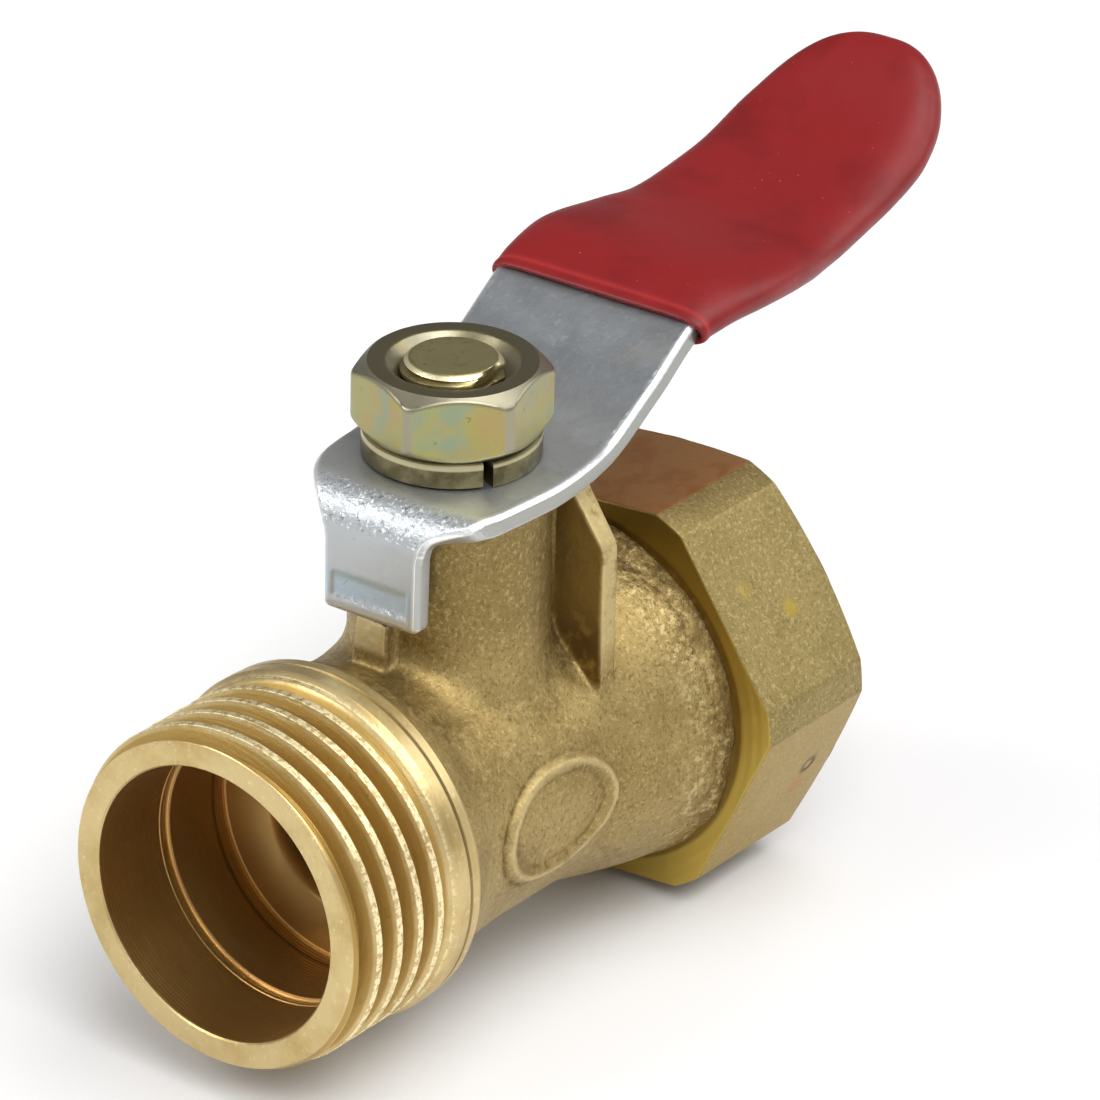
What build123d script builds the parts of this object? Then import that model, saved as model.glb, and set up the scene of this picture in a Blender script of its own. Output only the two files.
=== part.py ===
"""Small brass ball valve: male pipe thread at -X, female hex end at +X, quarter-turn lever on top.

Millimetres. The origin is the centre of the ball, where the flow axis (X) meets the stem axis (Z).
The valve is open: the port lies along X and the lever points to +X.
"""
import os
from math import cos, radians, sin, sqrt

from build123d import *

# --- pipe ends: G 1/2 parallel pipe thread --------------------------------------------------
pitch = 1.814                   # 14 threads per inch
thread_depth = 1.16
male_major_r = 10.4
female_minor_r = 9.32
crest_flat = 0.45               # width of the flat on every crest
male_end_x = -21.0
male_thread_end_x = -12.6
female_end_x = 23.0
female_thread_depth = 8.4
end_chamfer = 0.6

# --- body ----------------------------------------------------------------------------------
collar_r = 10.65
collar_end_x = -10.1
collar_bevel, collar_lip = 0.3, 0.35
waist_r = 9.0
waist_from_x, waist_to_x = -4.4, 4.1
waist_start, waist_end = (-7.6, 9.25), (6.6, 9.8)     # (x, radius) on the flares to the collar and rim
rim_r, rim_width = 10.9, 0.8
rim_x = 13.3                    # where the body butts against the hex
male_bore_r = 8.35
male_bore_step_x, bore_step_width = -15.0, 0.2
inner_bore_r = 8.22
port_r = 5.0
port_web_x = -9.3
cavity_r = 7.72                 # the space that the ball turns in
internal_clearance = 0.05       # between pieces that move against each other

# --- neck and stop fins ----------------------------------------------------------------------
neck_r = 5.7
neck_top_z = 18.6
neck_fillet = 1.2
fin_x0, fin_x1 = 4.2, 6.0
fin_y = 7.65
fin_shoulder_y, fin_shoulder_z = 5.3, 17.6
fin_outer_z = 14.6
lug_out_x, lug_y, lug_width, lug_top_z = 7.0, 0.35, 2.3, 12.2   # block on the neck, below the lever's tab

# --- casting ring: the plain raised oval on each flank ------------------------------------------
ring_x, ring_half_length, ring_half_height = -0.9, 5.2, 3.5
ring_width, ring_height = 0.85, 0.35

# --- end connector -----------------------------------------------------------------------------
hex_flats = 24.0
hex_turn = -5.2                 # degrees about X, where the connector happened to tighten
hex_corner_r = 13.35            # turned corners
hex_near_bevel, hex_far_bevel = 0.15, 0.55
spigot_r = 8.4
spigot_clearance = 0.03
spigot_end_x = 6.6
seat_web_x = 8.0
port_cone = 0.8                 # length of the cone from the thread down to the port

# --- ball and seats ------------------------------------------------------------------------------
ball_r = 7.5
ball_port_r = 4.5
seat_outer_r = 6.9
seat_front_x = 4.6
slot_width, slot_floor_z = 2.6, 5.2

# --- stem ---------------------------------------------------------------------------------------
tang_width, tang_length, tang_z = 2.5, 7.0, 5.3
flange_r, flange_z0, flange_z1 = 4.6, 7.9, 9.1
thrust_thickness, thrust_clearance = 0.8, 0.1
gland_r = 3.80
shaft_r = 3.74
shaft_top_z = 19.0              # the lever rests on this shoulder
groove_zs = (12.3, 15.3)
groove_width, groove_floor_r = 1.4, 2.68
o_ring_r, o_ring_section_r = 3.21, 0.55
stud_r, stud_flat_y, stud_top_z = 3.0, -2.5, 26.2   # D section: one flat, on the -Y side
stud_chamfer = 0.4

# --- lever ----------------------------------------------------------------------------------------
lever_yaw = 3.5                 # degrees: how far the flat, and so the lever, sits from the pipe axis
plate = 1.25
plate_z = shaft_top_z + plate   # top of the lever's head
hole_clearance = 0.05
head_flat_x = 5.0               # the head is flat under the washer, then the plate rises
# the top of the plate seen from the side: (distance from the stem, height)
plate_rise = [(10.2, 22.2), (14.3, 24.5), (17.0, 25.1), (20.0, 25.1), (24.0, 24.6), (28.0, 24.2),
              (32.0, 24.55), (36.0, 25.3), (40.0, 26.7)]
plate_tip_x, plate_tip_z = 47.3, 30.6                 # where that line leaves the tip
# the outline from above, round the -Y side to the tip and back: (distance from the stem, to the side)
lever_edge = [(-6.9, -5.4), (-5.6, -6.8), (-2.2, -7.35), (1.0, -7.5), (6.4, -6.95), (14.3, -6.85),
              (20.0, -7.3), (28.0, -6.5), (36.0, -6.1), (41.5, -4.8), (44.2, -2.4), (45.1, -0.35), (44.2, 1.8),
              (41.5, 4.2), (36.0, 5.6), (28.0, 6.0), (20.0, 7.0), (14.3, 6.75), (8.0, 6.8), (2.0, 6.5),
              (-2.5, 6.25), (-5.6, 5.5), (-6.9, 4.4)]
head_end_x = lever_edge[0][0]
tab_outer_x, tab_half_width, tab_bottom_z = 8.0, 3.35, 12.75
tab_bend_r, tab_corner_r = 2.4, 0.6

# --- grip -----------------------------------------------------------------------------------------
coat = 0.85                     # over and under the plate
# the outline from above, in the same order as the lever's
grip_edge = [(14.3, -7.55), (17.0, -7.9), (20.0, -8.2), (24.0, -7.95), (28.0, -7.4), (32.0, -7.1),
             (36.0, -7.0), (39.0, -6.8), (42.0, -6.05), (44.5, -4.25), (45.6, -2.35), (45.9, -0.4), (45.6, 1.6),
             (44.5, 3.5), (42.0, 5.35), (39.0, 6.15), (36.0, 6.4), (32.0, 6.6), (28.0, 6.9), (24.0, 7.45),
             (20.0, 7.8), (17.0, 7.55), (14.3, 7.25)]

# --- nut and washer ------------------------------------------------------------------------------
washer_outer_r, washer_inner_r, washer_thickness = 5.15, 3.1, 1.6
washer_split, washer_split_angle = 0.7, -120.5
nut_flats, nut_height, nut_turn = 10.2, 4.1, -18.0
nut_corner_r, nut_face_r = 5.85, 5.0     # turned corners and the circle where the chamfers start
nut_chamfer = 0.45
nut_bore_r, countersink = 3.04, 0.75

lever_plan = Plane(origin=(0, 0, 0), x_dir=(cos(radians(lever_yaw)), sin(radians(lever_yaw)), 0),
                   z_dir=(0, 0, 1))
lever_side = Plane(origin=(0, 0, 0), x_dir=(cos(radians(lever_yaw)), sin(radians(lever_yaw)), 0),
                   z_dir=(sin(radians(lever_yaw)), -cos(radians(lever_yaw)), 0))
half_pitch_root = (pitch - crest_flat) / 2


def groove_centres(first_x, last_x):
    """Middles of the thread grooves that fit between two ends."""
    count = int((last_x - first_x - crest_flat) / pitch)
    return [first_x + crest_flat + half_pitch_root + i * pitch for i in range(count)]


def thread_groove(x, crest_r, root_r):
    """Triangular groove section in the X-radius half plane, to be revolved about X."""
    beyond = 0.1 * (crest_r - root_r)
    half_mouth = half_pitch_root * 1.1
    Polygon((x - half_mouth, crest_r + beyond), (x, root_r), (x + half_mouth, crest_r + beyond), align=None)


# =========================================== body ==================================================
with BuildPart() as body:
    with BuildSketch(Plane.XY):
        with BuildLine():
            Polyline((male_end_x, 0), (male_end_x, male_major_r - end_chamfer),
                     (male_end_x + end_chamfer, male_major_r), (male_thread_end_x, male_major_r),
                     (male_thread_end_x + collar_bevel, collar_r),
                     (collar_end_x - collar_bevel, collar_r), (collar_end_x, collar_r - collar_lip))
            Spline((collar_end_x, collar_r - collar_lip), waist_start, (waist_from_x, waist_r),
                   tangents=[(0.5, -1), (1, 0)])
            Line((waist_from_x, waist_r), (waist_to_x, waist_r))
            Spline((waist_to_x, waist_r), waist_end, (rim_x - rim_width, rim_r), tangents=[(1, 0), (1, 0.1)])
            Polyline((rim_x - rim_width, rim_r), (rim_x, rim_r), (rim_x, 0), (male_end_x, 0))
        make_face()
    revolve(axis=Axis.X)
    with BuildSketch(Plane.XY):
        Circle(neck_r)
    extrude(amount=neck_top_z)
    neck_foot = body.edges(Select.NEW).filter_by(
        lambda e: 4 < e.center().Z < neck_top_z - 1 and e.geom_type != GeomType.LINE)
    fillet(neck_foot, radius=neck_fillet)
    with BuildSketch(Plane.YZ.offset(fin_x0)):
        with BuildLine():
            Polyline((0, 0), (fin_y, 0), (fin_y, fin_outer_z), (fin_shoulder_y, fin_shoulder_z),
                     (0, fin_shoulder_z), close=True)
        make_face()
        mirror(about=Plane.YZ)
    extrude(amount=fin_x1 - fin_x0)
    with BuildSketch(Plane.XY):
        with Locations((-lug_out_x / 2, lug_y)):
            Rectangle(lug_out_x, lug_width)
    extrude(amount=lug_top_z)
    with BuildSketch(Plane.XZ):
        with Locations((ring_x, 0)):
            Ellipse(ring_half_length, ring_half_height)
            Ellipse(ring_half_length - ring_width, ring_half_height - ring_width, mode=Mode.SUBTRACT)
    ring_zone = extrude(amount=waist_r + 2, both=True, mode=Mode.PRIVATE)
    with BuildSketch(Plane.YZ.offset(ring_x - ring_half_length)) as ring_disc:
        Circle(waist_r + ring_height)
    ring_skin = extrude(ring_disc.sketch, amount=2 * ring_half_length, mode=Mode.PRIVATE)
    add(ring_zone & ring_skin)
    # inside: flow bore, seat pocket, ball cavity, connector socket
    with BuildSketch(Plane.XY):
        with BuildLine():
            Polyline((male_end_x, 0), (male_end_x, male_bore_r), (male_bore_step_x, male_bore_r),
                     (male_bore_step_x + bore_step_width, inner_bore_r), (collar_end_x, inner_bore_r),
                     (port_web_x, port_r), (-seat_web_x, port_r), (-seat_web_x, seat_outer_r),
                     (-seat_front_x, seat_outer_r), (-seat_front_x, cavity_r),
                     (spigot_end_x, cavity_r), (spigot_end_x, spigot_r + spigot_clearance),
                     (rim_x, spigot_r + spigot_clearance), (rim_x, 0), close=True)
        make_face()
    revolve(axis=Axis.X, mode=Mode.SUBTRACT)
    with BuildSketch(Plane.XY):
        Circle(gland_r)
    extrude(amount=neck_top_z, mode=Mode.SUBTRACT)
    with BuildSketch(Plane.XY):
        Circle(flange_r + 2 * thrust_clearance)
    extrude(amount=flange_z1 + thrust_thickness, mode=Mode.SUBTRACT)
    with BuildSketch(Plane.XY):
        for x in groove_centres(male_end_x + end_chamfer, male_thread_end_x):
            thread_groove(x, male_major_r, male_major_r - thread_depth)
    revolve(axis=Axis.X, mode=Mode.SUBTRACT)
body.part.label = "body"

# ====================================== end connector ==============================================
with BuildPart() as end_connector:
    with BuildSketch(Plane.YZ.offset(rim_x)):
        RegularPolygon(radius=hex_flats / 2, side_count=6, major_radius=False, rotation=hex_turn)
    extrude(amount=female_end_x - rim_x)
    with BuildSketch(Plane.XY):
        with BuildLine():
            Polyline((rim_x, 0), (rim_x, hex_corner_r - hex_near_bevel),
                     (rim_x + hex_near_bevel, hex_corner_r), (female_end_x - hex_far_bevel, hex_corner_r),
                     (female_end_x, hex_flats / 2), (female_end_x, 0), close=True)
        make_face()
    revolve(axis=Axis.X, mode=Mode.INTERSECT)
    with BuildSketch(Plane.YZ.offset(spigot_end_x)):
        Circle(spigot_r)
    extrude(amount=rim_x - spigot_end_x)
    with BuildSketch(Plane.XY):
        with BuildLine():
            Polyline((female_end_x, 0), (female_end_x, female_minor_r + end_chamfer),
                     (female_end_x - end_chamfer, female_minor_r),
                     (female_end_x - female_thread_depth, female_minor_r),
                     (female_end_x - female_thread_depth - port_cone, port_r),
                     (seat_web_x, port_r), (seat_web_x, seat_outer_r),
                     (seat_front_x, seat_outer_r), (seat_front_x, 0), close=True)
        make_face()
    revolve(axis=Axis.X, mode=Mode.SUBTRACT)
    with BuildSketch(Plane.XY):
        for x in groove_centres(female_end_x - female_thread_depth + crest_flat, female_end_x - end_chamfer):
            thread_groove(x, female_minor_r, female_minor_r + thread_depth)
    revolve(axis=Axis.X, mode=Mode.SUBTRACT)
end_connector.part.label = "end_connector"

# ============================================ ball =================================================
with BuildPart() as ball:
    Sphere(ball_r)
    with BuildSketch(Plane.YZ):
        Circle(ball_port_r)
    extrude(amount=ball_r, both=True, mode=Mode.SUBTRACT)
    with BuildSketch(Plane.XY.offset(slot_floor_z)):
        Rectangle(slot_width, 2 * ball_r)
    extrude(amount=ball_r, mode=Mode.SUBTRACT)
ball.part.label = "ball"


# ============================================ seats ================================================
def seat_ring(side):
    """PTFE ring with a spherical lip, on the -X side (side=-1) or the +X side (side=1)."""
    lip_r = ball_r + internal_clearance
    lip_inner_x = sqrt(lip_r ** 2 - port_r ** 2)
    lip_outer_r = sqrt(lip_r ** 2 - seat_front_x ** 2)
    with BuildPart() as ring:
        with BuildSketch(Plane.XY):
            with BuildLine():
                Polyline((side * lip_inner_x, port_r), (side * seat_web_x, port_r),
                         (side * seat_web_x, seat_outer_r), (side * seat_front_x, seat_outer_r),
                         (side * seat_front_x, lip_outer_r))
                RadiusArc((side * seat_front_x, lip_outer_r), (side * lip_inner_x, port_r), side * lip_r)
            make_face()
        revolve(axis=Axis.X)
    return ring


seat_inlet = seat_ring(-1)
seat_inlet.part.label = "seat_inlet"
seat_outlet = seat_ring(1)
seat_outlet.part.label = "seat_outlet"

# ============================================ stem =================================================
with BuildPart() as stem:
    with BuildSketch(Plane.XZ):
        with BuildLine():
            Polyline((0, flange_z0), (flange_r, flange_z0), (flange_r, flange_z1), (shaft_r, flange_z1),
                     (shaft_r, shaft_top_z), (stud_r, shaft_top_z), (stud_r, stud_top_z - stud_chamfer),
                     (stud_r - stud_chamfer, stud_top_z), (0, stud_top_z), close=True)
        make_face()
    revolve(axis=Axis.Z)
    with BuildSketch(Plane.XZ):
        for z in groove_zs:
            with Locations((groove_floor_r, z)):
                Rectangle(shaft_r, groove_width, align=(Align.MIN, Align.CENTER))
    revolve(axis=Axis.Z, mode=Mode.SUBTRACT)
    with BuildSketch(lever_plan.offset(shaft_top_z)):
        with Locations((0, stud_flat_y)):
            Rectangle(4 * stud_r, 2 * stud_r, align=(Align.CENTER, Align.MAX))
    extrude(amount=stud_top_z - shaft_top_z, mode=Mode.SUBTRACT)
    with BuildSketch(Plane.XY.offset(tang_z)):
        Rectangle(tang_width, tang_length)
    extrude(amount=flange_z0 - tang_z)
stem.part.label = "stem"

with BuildPart() as stem_thrust_washer:
    with BuildSketch(Plane.XY.offset(flange_z1)):
        Circle(flange_r + thrust_clearance)
        Circle(gland_r, mode=Mode.SUBTRACT)
    extrude(amount=thrust_thickness - internal_clearance)
stem_thrust_washer.part.label = "stem_thrust_washer"


def o_ring(z):
    """Rubber ring in the stem's groove at height z."""
    with BuildPart() as ring:
        with BuildSketch(Plane.XZ):
            with Locations((o_ring_r, z)):
                Circle(o_ring_section_r)
        revolve(axis=Axis.Z)
    return ring


stem_o_ring_lower = o_ring(groove_zs[0])
stem_o_ring_lower.part.label = "stem_o_ring_lower"
stem_o_ring_upper = o_ring(groove_zs[1])
stem_o_ring_upper.part.label = "stem_o_ring_upper"


# =========================================== lever =================================================
def top_line(offset):
    """Side-view line of the plate's top, moved by an offset, from the head past the tip."""
    rise = [(x, z + offset) for x, z in plate_rise]
    Line((head_end_x, plate_z + offset), (head_flat_x, plate_z + offset))
    Spline((head_flat_x, plate_z + offset), *rise, (plate_tip_x, plate_tip_z + offset),
           tangents=[(1, 0), (1, 0.5)])


def slab_lines(cover):
    """Side-view outline of the plate, with a cover of even thickness above and below it."""
    top_line(cover)
    Line((plate_tip_x, plate_tip_z + cover), (plate_tip_x, plate_tip_z - plate - cover))
    top_line(-plate - cover)
    Line((head_end_x, plate_z + cover), (head_end_x, plate_z - plate - cover))


def bent_line(reach, height, radius):
    """Side-view line from the stem axis out to the tab, round the bend and down the tab."""
    Line((0, height), (radius - reach, height))
    JernArc((radius - reach, height), (-1, 0), radius, 90)
    Line((-reach, height - radius), (-reach, tab_bottom_z))


with BuildPart() as lever:
    # the head and the handle: a bent slab cut to its outline
    with BuildSketch(lever_side):
        with BuildLine():
            slab_lines(0)
        make_face()
    extrude(amount=2 * tab_outer_x, both=True)
    with BuildSketch(lever_plan):
        with BuildLine():
            Spline(*lever_edge)
            Line(lever_edge[0], lever_edge[-1])
        make_face()
    extrude(amount=2 * plate_tip_z, mode=Mode.INTERSECT)
    # the head's end, opened up for the bend, and the stop tab that is bent down from it
    with BuildSketch(lever_plan):
        with Locations((tab_bend_r - tab_outer_x, 0)):
            Rectangle(2 * tab_bend_r, 2 * tab_half_width, align=(Align.MAX, Align.CENTER))
    extrude(amount=2 * plate_tip_z, mode=Mode.SUBTRACT)
    with BuildSketch(lever_side):
        with BuildLine():
            bent_line(tab_outer_x, plate_z, tab_bend_r)
            Line((-tab_outer_x, tab_bottom_z), (plate - tab_outer_x, tab_bottom_z))
            bent_line(tab_outer_x - plate, plate_z - plate, tab_bend_r - plate)
            Line((0, plate_z - plate), (0, plate_z))
        make_face()
    extrude(amount=tab_half_width, both=True)
    tab_corners = lever.edges().filter_by(
        lambda e: abs(e.center().Z - tab_bottom_z) < 0.01 and abs(e.length - plate) < 0.01)
    fillet(tab_corners, radius=tab_corner_r)
    with BuildSketch(lever_plan):
        Circle(stud_r + hole_clearance)
        with Locations((0, stud_flat_y - hole_clearance)):
            Rectangle(4 * stud_r, 2 * stud_r, align=(Align.CENTER, Align.MAX), mode=Mode.SUBTRACT)
    extrude(amount=plate_z + plate, mode=Mode.SUBTRACT)
lever.part.label = "lever"

with BuildPart() as lever_grip:
    with BuildSketch(lever_side):
        with BuildLine():
            slab_lines(coat)
        make_face()
    extrude(amount=2 * tab_outer_x, both=True)
    with BuildSketch(lever_plan):
        with BuildLine():
            Spline(*grip_edge)
            Line(grip_edge[0], grip_edge[-1])
        make_face()
    extrude(amount=2 * plate_tip_z, mode=Mode.INTERSECT)
    add(lever.part, mode=Mode.SUBTRACT)
lever_grip.part.label = "lever_grip"

# ======================================= washer and nut ============================================
with BuildPart() as spring_washer:
    with BuildSketch(Plane.XY.offset(plate_z)):
        Circle(washer_outer_r)
        Circle(washer_inner_r, mode=Mode.SUBTRACT)
        with Locations(Location((0, 0, 0), (0, 0, washer_split_angle))):
            with Locations((washer_outer_r, 0)):
                Rectangle(2 * washer_outer_r, washer_split, mode=Mode.SUBTRACT)
    extrude(amount=washer_thickness)
spring_washer.part.label = "spring_washer"

nut_z = plate_z + washer_thickness
with BuildPart() as lever_nut:
    with BuildSketch(Plane.XY.offset(nut_z)):
        RegularPolygon(radius=nut_flats / 2, side_count=6, major_radius=False, rotation=30 + nut_turn)
    extrude(amount=nut_height)
    with BuildSketch(Plane.XZ):
        with BuildLine():
            Polyline((0, nut_z), (nut_face_r, nut_z), (nut_corner_r, nut_z + nut_chamfer),
                     (nut_corner_r, nut_z + nut_height - nut_chamfer), (nut_face_r, nut_z + nut_height),
                     (0, nut_z + nut_height), close=True)
        make_face()
    revolve(axis=Axis.Z, mode=Mode.INTERSECT)
    with BuildSketch(Plane.XZ):
        with BuildLine():
            Polyline((0, nut_z), (nut_bore_r, nut_z), (nut_bore_r, nut_z + nut_height - countersink),
                     (nut_bore_r + countersink, nut_z + nut_height), (0, nut_z + nut_height), close=True)
        make_face()
    revolve(axis=Axis.Z, mode=Mode.SUBTRACT)
lever_nut.part.label = "lever_nut"

# ============================================ output ===============================================
os.makedirs("parts", exist_ok=True)
for piece in (body, end_connector, seat_inlet, seat_outlet, ball, stem, stem_thrust_washer,
              stem_o_ring_lower, stem_o_ring_upper, lever, lever_grip, spring_washer, lever_nut):
    export_step(piece.part, f"parts/{piece.part.label}.step")
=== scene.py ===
"""Brass ball valve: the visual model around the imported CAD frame.

Lengths are written in millimetres, and MM turns them into Blender's metres.
X is the flow axis (male end at -X), Z is the stem axis, and the origin is the ball's centre.
"""
from math import asin, cos, hypot, pi, radians, sin, sqrt, tan

import bmesh
import bpy
import numpy as np
from mathutils import Matrix, Vector
from mathutils.geometry import tessellate_polygon


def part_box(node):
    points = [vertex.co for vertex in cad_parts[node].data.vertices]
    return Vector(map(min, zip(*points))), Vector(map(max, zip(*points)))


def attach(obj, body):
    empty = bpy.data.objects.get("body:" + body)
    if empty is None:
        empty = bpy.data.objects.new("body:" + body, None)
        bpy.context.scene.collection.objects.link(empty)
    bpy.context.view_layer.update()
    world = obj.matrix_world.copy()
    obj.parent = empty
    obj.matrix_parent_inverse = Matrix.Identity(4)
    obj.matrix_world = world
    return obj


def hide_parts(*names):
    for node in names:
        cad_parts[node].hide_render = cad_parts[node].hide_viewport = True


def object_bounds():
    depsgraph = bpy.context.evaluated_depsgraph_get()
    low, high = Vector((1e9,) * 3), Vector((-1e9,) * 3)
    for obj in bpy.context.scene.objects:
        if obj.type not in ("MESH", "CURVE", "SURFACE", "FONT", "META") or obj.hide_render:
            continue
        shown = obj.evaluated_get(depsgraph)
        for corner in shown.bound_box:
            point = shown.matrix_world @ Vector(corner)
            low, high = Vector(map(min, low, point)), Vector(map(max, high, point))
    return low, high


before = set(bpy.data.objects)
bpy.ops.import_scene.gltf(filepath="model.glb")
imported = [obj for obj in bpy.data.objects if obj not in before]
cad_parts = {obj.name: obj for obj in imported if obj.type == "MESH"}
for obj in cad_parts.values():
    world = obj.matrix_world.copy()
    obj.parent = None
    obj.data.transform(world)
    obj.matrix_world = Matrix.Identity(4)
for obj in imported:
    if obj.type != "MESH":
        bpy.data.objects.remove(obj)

MM = 0.001
MERGE_DISTANCE = 0.0005 * MM
cad_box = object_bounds()

# ---------------- driving sizes, from the frame
body_low, body_high = (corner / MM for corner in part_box("body"))
hex_low, hex_high = (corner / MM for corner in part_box("end_connector"))
nut_low, nut_high = (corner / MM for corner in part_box("lever_nut"))
washer_low, washer_high = (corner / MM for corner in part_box("spring_washer"))
stem_low, stem_high = (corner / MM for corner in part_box("stem"))

MALE_END_X = body_low.x
RIM_X = body_high.x
NECK_TOP_Z = body_high.z
FEMALE_END_X = hex_high.x
SPIGOT_END_X = hex_low.x
PLATE_TOP_Z = washer_low.z
STEM_TOP_Z = stem_high.z

PITCH = 1.814
THREAD_DEPTH = 1.02
MALE_MAJOR_R = 10.4
FEMALE_MINOR_R = 9.32
COLLAR_R = 10.65
COLLAR_END_X = -10.1
THREAD_END_X = -12.5
BORE_R = 8.35
INNER_BORE_R = 8.18
BORE_STEP_X = -15.0
PORT_R = 5.0
SEAT_R = 6.9
SEAT_WEB_X = 8.0
SEAT_FRONT_X = 4.6
CAVITY_R = 7.72
SPIGOT_R = 8.4
GLAND_R = 3.8
WAIST_R = 9.0
NECK_R = 5.7
HEX_FLATS = 24.0
HEX_TURN = radians(24.8)        # about X, to the middle of one flat
HEX_ROUNDING = 1.8
HEX_CORNER_R = 13.3
HEX_THREAD_LENGTH = 8.4
LEVER_YAW = radians(3.5)
PLATE = 1.25


# ---------------- mesh helpers
def add_object(name, data):
    obj = bpy.data.objects.new(name, data)
    bpy.context.scene.collection.objects.link(obj)
    return obj


def finish_mesh(mesh, sharp):
    """Smooth shading, broken where faces meet at more than sharp degrees."""
    mesh.validate()
    mesh.shade_smooth()
    mesh.set_sharp_from_angle(angle=radians(sharp))


def take_mesh(bm, name):
    """Mesh data from a bmesh, which is freed."""
    mesh = bpy.data.meshes.new(name)
    bm.to_mesh(mesh)
    bm.free()
    return mesh


def make_object(name, verts, faces, sharp=30.0):
    """Mesh object from points in millimetres: merged, with outward normals and sharp edges by angle."""
    mesh = bpy.data.meshes.new(name)
    mesh.from_pydata([tuple(v) for v in np.asarray(verts, float) * MM], [], [tuple(f) for f in faces])
    bm = bmesh.new()
    bm.from_mesh(mesh)
    bmesh.ops.remove_doubles(bm, verts=bm.verts, dist=MERGE_DISTANCE)
    bmesh.ops.dissolve_degenerate(bm, edges=bm.edges, dist=MERGE_DISTANCE)
    bmesh.ops.recalc_face_normals(bm, faces=bm.faces)
    bm.to_mesh(mesh)
    bm.free()
    finish_mesh(mesh, sharp)
    return add_object(name, mesh)


def mesh_points(mesh):
    points = np.empty(len(mesh.vertices) * 3)
    mesh.vertices.foreach_get("co", points)
    return points.reshape(-1, 3) / MM


def place_points(mesh, points):
    mesh.vertices.foreach_set("co", (points * MM).ravel())


def mark(mesh, name, values):
    """Stores one number for each point, which the materials read."""
    attribute = mesh.attributes.new(name, "FLOAT", "POINT")
    attribute.data.foreach_set("value", np.asarray(values, np.float32))


def apply_modifier(obj, kind, **settings):
    """Adds a modifier, applies it, and leaves a plain mesh."""
    modifier = obj.modifiers.new(kind.lower(), kind)
    for key, value in settings.items():
        setattr(modifier, key, value)
    evaluated = obj.evaluated_get(bpy.context.evaluated_depsgraph_get())
    mesh = bpy.data.meshes.new_from_object(evaluated)
    obj.modifiers.clear()
    obj.data = mesh


def loop_faces(rows, columns):
    """Quads between closed loops of points stored loop by loop."""
    faces = []
    for start in range(0, (rows - 1) * columns, columns):
        for j in range(columns):
            a, b = start + j, start + (j + 1) % columns
            faces.append((a, a + columns, b + columns, b))
    return faces


def capped_faces(rows, columns):
    """The same with a face over each end."""
    last = (rows - 1) * columns
    return loop_faces(rows, columns) + [tuple(range(columns)), tuple(range(last, last + columns))]


def spun(name, angles, section, axis="X", sharp=30.0):
    """Closed ring solid: section(angle) gives the closed outline as (along, radius) points."""
    verts = []
    for angle in angles:
        for along, r in section(angle):
            across = (r * cos(angle), r * sin(angle))
            verts.append((along, *across) if axis == "X" else (*across, along))
    return make_object(name, verts, loop_faces(len(angles), len(verts) // len(angles)), sharp)


def full_turn(steps):
    return [2 * pi * i / steps for i in range(steps + 1)]


def rounded_hex_radius(angle, flats, corner, turn):
    """Distance from the axis to a hexagon with rounded corners. turn is the angle of one flat's middle."""
    half = flats / 2
    sector = (angle - turn + pi / 6) % (pi / 3) - pi / 6
    tangent = (half - corner) * tan(pi / 6) / half
    if abs(tan(sector)) <= tangent:
        return half / cos(sector)
    centre = (half - corner) / cos(pi / 6)
    off = pi / 6 - abs(sector)
    return centre * cos(off) + sqrt(max(0.0, corner ** 2 - (centre * sin(off)) ** 2))


def hex_angles(turn):
    """Angles of one turn, denser near the six corners, with every corner on the list."""
    near = [0.0, 0.3, 0.6, 0.9, 1.3, 2.0, 2.8, 3.3, 3.6, 3.9, 4.2, 4.6, 5.2]
    sector = sorted({*(-30 + v for v in near), *(30 - v for v in near), *np.arange(-24, 24.01, 1.5)})
    angles = []
    for side in range(6):
        angles += [turn + radians(60 * side + v) for v in sector[:-1]]
    return angles + [angles[0] + 2 * pi]


def thread_shape(phase):
    """0 on the crest and 1 at the root, over one pitch."""
    t = abs((phase + 0.5) % 1.0 - 0.5) * 2          # 0 at the crest's middle, 1 at the root's middle
    crest, root = 0.24, 0.70
    return min(1.0, max(0.0, (t - crest) / (root - crest)))


def offset(along, r, steps):
    """Section points given as steps from one place."""
    return [(along + a, r + b) for a, b in steps]


THREAD_STEPS = [0.0, 0.07, 0.11, 0.125, 0.17, 0.24, 0.31, 0.345, 0.40, 0.5, 0.60, 0.655, 0.69, 0.76, 0.83,
                0.875, 0.89, 0.93]              # places of the section's points within one pitch


def thread_points(angle, start, end, radius_at, pitch=PITCH):
    """Section points of a right-hand helical thread between two places along its axis."""
    points = []
    lead = angle / (2 * pi)
    for turn in range(int(start / pitch) - 3, int(end / pitch) + 3):
        for step in THREAD_STEPS:
            along = min(max((turn + step + lead) * pitch, start), end)
            points.append((along, radius_at(along, along / pitch - lead)))
    return points


# ---------------- noise
def lattice_noise(points, size, seed):
    """Smooth value noise from -1 to 1. size is the feature size, in the points' unit."""
    table = np.random.RandomState(seed).uniform(-1, 1, (32, 32, 32))
    p = np.asarray(points) / size + 1000.0
    cell = np.floor(p).astype(int)
    f = p - cell
    f = f * f * f * (f * (f * 6 - 15) + 10)
    total = np.zeros(len(p))
    for corner in np.ndindex(2, 2, 2):
        weight = np.prod(np.where(corner, f, 1 - f), axis=1)
        total += weight * table[tuple((cell + corner).T % 32)]
    return total


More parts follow.
